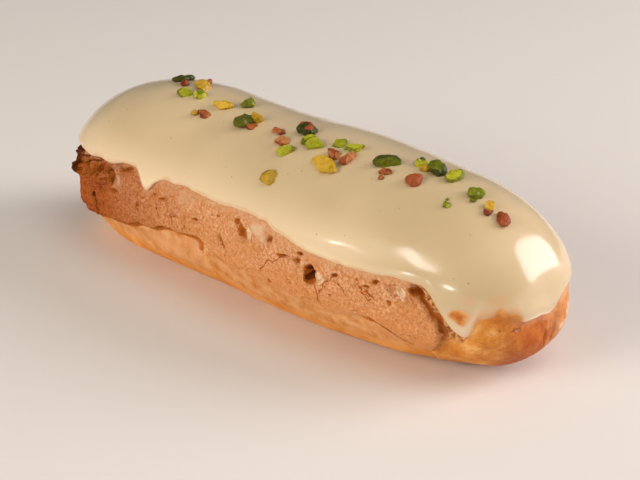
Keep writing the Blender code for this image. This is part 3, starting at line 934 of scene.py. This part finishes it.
def lay_on_icing(bit, x, y, turn, lean, lift):
    """Drops a bit a quarter of itself deep into the icing, turned, leaned and lifted."""
    spot, normal, _, _ = ICING_TOP.ray_cast(Vector((x, y, WELL_ABOVE)) * MM, Vector((0, 0, -1)))
    thickness = max(v.co.z for v in bit.verts) - min(v.co.z for v in bit.verts)
    stand = normal.to_track_quat("Z", "Y").to_matrix().to_4x4()
    rise = Matrix.Translation((0, 0, thickness * (0.5 - SUNK) + lift))
    place = Matrix.Translation(spot / MM) @ stand @ rise
    place = place @ Matrix.Rotation(math.radians(turn), 4, "Z") @ Matrix.Rotation(math.radians(lean), 4, "Y")
    bmesh.ops.transform(bit, matrix=Matrix.Scale(MM, 4) @ place, verts=bit.verts)


# %% Where the bits fell
# (x, y, length, width, thickness, turn, lean, cuts), in mm and degrees, and how far a bit that lies on
# another one is lifted.
GREEN_BITS = [
    (-30, -4.2, 3.2, 2.6, 1.8, 30, 10, 3), (-26.4, -3.3, 2.8, 2.6, 1.8, 0, 20, 3),
    (-15.5, 0.5, 3.2, 3, 2, 0, 0, 2), (7.2, -5, 3.4, 3.2, 2.2, 70, 10, 3),
    (9.6, -5.9, 4, 3.4, 2.4, 20, 0, 4), (13.5, -3, 3.2, 2.6, 1.8, 10, 0, 4),
    (18, -2.8, 5, 2.6, 2, -10, 0, 3), (5, -9.6, 3.6, 2.9, 1.8, 40, 10, 4),
    (33, 0.2, 3.4, 3.4, 2.2, 60, 0, 4), (40.5, 0.6, 4.8, 2.7, 1.9, -10, 0, 1),
    (44.5, -7.3, 1.7, 1.3, 0.9, 0, 0, 2), (47, -1.5, 3.3, 2.6, 1.9, -20, 0, 1),
    (47.6, -3.2, 1.3, 1, 0.7, 20, 0, 2), (43.8, -6, 0.8, 0.6, 0.5, 0, 0, 1),
    (16.2, -3.8, 1, 0.8, 0.6, 50, 0, 2),
]
DARK_BITS = [
    (-37.2, 2.2, 5.4, 2.4, 1.5, 30, 0, 0), (-10.8, -5.4, 4.8, 3.4, 2.4, 60, 15, 0),
    (4.4, -2.4, 4.2, 3.4, 2.6, 50, 20, 1), (27, -3.8, 5.4, 3, 2.4, 25, 5, 1),
    (36.4, 0.2, 3.6, 4.2, 2.6, -60, 20, 2), (31.6, 1.2, 1.8, 1.4, 1.2, 10, 0, 1),
]
YELLOW_BITS = [
    (-29.3, 0.7, 5.2, 3.4, 1.85, -48, 0, 4), (-23, -8.2, 3.2, 1.4, 1.4, 80, 60, 4),
    (-19.3, -3.6, 4.8, 2.3, 1.7, 10, 0, 3), (-8.8, -3.4, 3.8, 2, 2, 80, 75, 4, 0.3),
    (15.8, -9.8, 6.8, 3.6, 2.4, -5, 0, 3), (5.5, -15.4, 4.2, 3.2, 1.7, 50, 0, 4),
    (34.2, -0.6, 2, 2.4, 1.6, 60, 0, 3), (51, -2.2, 2.4, 2.2, 1.7, 0, 0, 3),
]
SKIN_BITS = [
    (-34.4, 0, 3.4, 1.9, 1, 40, 0, 2), (-30.9, 3.2, 3, 1.6, 1.4, 70, 10, 2),
    (-20.8, -7.4, 3.2, 2, 0.8, -20, 15, 3), (-8.6, -5.6, 2.6, 2, 1.2, 30, 10, 3),
    (-0.8, -4.8, 3.4, 2.2, 1.2, 60, 25, 3), (-2.4, -5, 1.6, 1.2, 0.8, 0, 0, 2),
    (2, -7.4, 3, 2.2, 1.2, 20, 10, 3), (4.7, -2.4, 3.2, 2.4, 0.8, 0, 10, 1, 1.4),
    (15.2, -6.6, 4.2, 2.4, 1.2, 0, 10, 3), (19, -6.4, 3.6, 3.6, 2.4, 50, 0, 4),
    (28.2, -6.1, 3, 1.6, 0.9, 0, 0, 3), (28.6, -7.6, 1, 0.9, 0.6, 0, 0, 2), (35, -5.3, 3.3, 3, 2, 30, 0, 0),
    (51.4, -3.4, 2, 1.6, 1.1, 40, 0, 2), (54.2, -2.6, 3.4, 2.4, 1.9, 70, 15, 0),
]


def scatter(name, bits, first_seed, outside, flesh):
    """Joins all bits of one kind into one piece, each with a shade of its own."""
    joined = bmesh.new()
    shades = []
    for seed, (x, y, length, width, thickness, turn, lean, cuts, *lift) in enumerate(bits, first_seed):
        bit = chopped_bit(length, width, thickness, cuts, seed)
        lay_on_icing(bit, x, y, turn, lean, sum(lift))
        shade = np.random.default_rng(seed + SHADE_SEED).uniform()
        shades += [shade] * len(bit.verts)
        mesh = bpy.data.meshes.new("bit")
        bit.to_mesh(mesh)
        bit.free()
        joined.from_mesh(mesh)
        bpy.data.meshes.remove(mesh)
    piece = add_piece(name, joined, nut_material(*outside), nut_material(*flesh))
    piece.data.shade_flat()
    paint(piece, shade=shades)
    print(name, "has", len(bits), "bits and", len(piece.data.polygons), "faces")
    return piece


# %% [markdown]
# ### Nut materials
# Raw pistachio is waxy: it scatters light inside and shines softly. The outside of a kernel is dark
# green mottled with purple; the flesh is bright green to yellow. Skin is matt to satin red brown.

# %% The nut materials
def nut_material(name, dark, light, patches, roughness=0.33):
    """Waxy flesh or skin between two colours, with patches of a third."""
    material, tree, shader = new_material(
        name, Roughness=roughness, IOR=1.47, Specular_IOR_Level=0.4, Subsurface_Weight=0.08,
        Subsurface_Scale=0.0006, Subsurface_Radius=(0.8, 1.0, 0.3),
    )
    share = sum_of(tree, "ADD", product(tree, mask(tree, "shade"), 0.5), grain(tree, 1.2, 2))
    share = sum_of(tree, "SUBTRACT", share, 0.25)
    colour = ramp(tree, share, (0.25, dark), (0.75, light))
    patched = ramp(tree, grain(tree, 1.6, 2, 0.6), (0.58, "#000000"), (0.68, "#C0C0C0"))
    colour = mix(tree, patched, colour, patches)
    feed(tree, shader, colour, bump(tree, grain(tree, 0.5, 3), 0.15))
    return material


scatter(
    "pistachio_green", GREEN_BITS, 100,
    outside=("pistachio_outside_green", "#525A08", "#7E8410", "#A0A02A"),
    flesh=("pistachio_flesh_green", "#8E920E", "#B8B62C", "#62680A"),
)
scatter(
    "pistachio_dark", DARK_BITS, 200,
    outside=("pistachio_outside_dark", "#2E3404", "#585C08", "#3E2A0E", 0.28),
    flesh=("pistachio_flesh_dark", "#4C5606", "#767C0C", "#38420A"),
)
scatter(
    "pistachio_yellow", YELLOW_BITS, 300,
    outside=("pistachio_outside_olive", "#9A7A0E", "#C4A022", "#8A5418"),
    flesh=("pistachio_flesh_yellow", "#B08C22", "#D8AC3A", "#A09428"),
)
scatter(
    "pistachio_skin", SKIN_BITS, 400,
    outside=("pistachio_skin_brown", "#6E2A18", "#9E5028", "#54261A", 0.42),
    flesh=("pistachio_skin_inside", "#98501F", "#BE7E48", "#7E3E22", 0.5),
)

# %% [markdown]
# ## Floor, light and camera
# A pale floor and soft boxes, as in a small product studio. The key light stands behind the eclair's
# right end and is broad, so that the icing shows it as one large soft shine. Smaller ones in front
# make the streaks along the icing's edge. The fills light the crust and leave no shine of their own.

# %% The floor
def make_floor():
    plane = bmesh.new()
    bmesh.ops.create_grid(plane, x_segments=1, y_segments=1, size=4.0)
    material, _, _ = new_material("pale_matt_paper", Base_Color=linear("#E4E0DA"), Roughness=0.9)
    add_object("floor", plane, material)


make_floor()


# %% The lights
LIGHT_DISTANCE = 0.9


def aim(holder, azimuth, elevation, roll, distance, target=(0, 0, 0)):
    """Puts a lamp or the camera at a distance from a target and turns it there; angles are in degrees."""
    turn, lift = math.radians(azimuth), math.radians(elevation)
    away = Vector((math.sin(turn) * math.cos(lift), -math.cos(turn) * math.cos(lift), math.sin(lift)))
    facing = away.to_track_quat("Z", "Y").to_matrix() @ Matrix.Rotation(math.radians(roll), 3, "Z")
    holder.matrix_world = Matrix.LocRotScale(Vector(target) + away * distance, facing, None)
    bpy.context.scene.collection.objects.link(holder)


def soft_box(name, azimuth, elevation, width, height, roll, watts, colour, shines=True):
    """An oval light that looks at the eclair; it may be left out of reflections."""
    lamp = bpy.data.lights.new(name, "AREA")
    lamp.shape = "ELLIPSE"
    lamp.size, lamp.size_y = width, height
    lamp.energy = watts
    lamp.color = linear(colour)[:3]
    holder = bpy.data.objects.new(name, lamp)
    holder.visible_glossy = shines
    aim(holder, azimuth, elevation, roll, LIGHT_DISTANCE)


soft_box("key_soft_box", 130, 20, 0.58, 0.76, 6, 6.2, "#FFF5F8")
soft_box("key_fill", 134, 24, 0.6, 0.6, 0, 2.4, "#FFF5F8", shines=False)
soft_box("top_fill", 90, 62, 0.6, 0.6, 0, 2, "#FFF8F0", shines=False)
soft_box("front_fill", -18, 26, 0.7, 0.5, 0, 4.5, "#FFF4E6", shines=False)
soft_box("window_shine", -8, 30, 0.34, 0.14, -40, 0.9, "#FFF4F0")
soft_box("long_shine", -7, 3, 0.05, 0.04, -30, 0.16, "#FFFCF8")
soft_box("low_shine", 11, 8, 0.15, 0.05, -20, 0.35, "#FFFCF8")
soft_box("dot_shine", -25, 21.5, 0.006, 0.012, 0, 0.1, "#FFFCF8")

world = bpy.data.worlds.new("studio")
world.use_nodes = True
world.node_tree.nodes["Background"].inputs["Color"].default_value = linear("#F4F0EA")
world.node_tree.nodes["Background"].inputs["Strength"].default_value = 0.21
bpy.context.scene.world = world
bpy.context.scene.view_settings.view_transform = "Standard"

# %% The camera
VIEW_AZIMUTH, VIEW_ELEVATION, VIEW_ROLL = 42.09, 26.70, -1.144
VIEW_TARGET = Vector((-11.32, 18.21, 0.0)) * MM
VIEW_DISTANCE = 364.1 * MM

camera_data = bpy.data.cameras.new("camera")
camera_data.sensor_width = 36.0
camera_data.lens = 87.85
camera_data.clip_start = 0.01
camera = bpy.data.objects.new("camera", camera_data)
aim(camera, VIEW_AZIMUTH, VIEW_ELEVATION, VIEW_ROLL, VIEW_DISTANCE, VIEW_TARGET)
bpy.context.scene.camera = camera
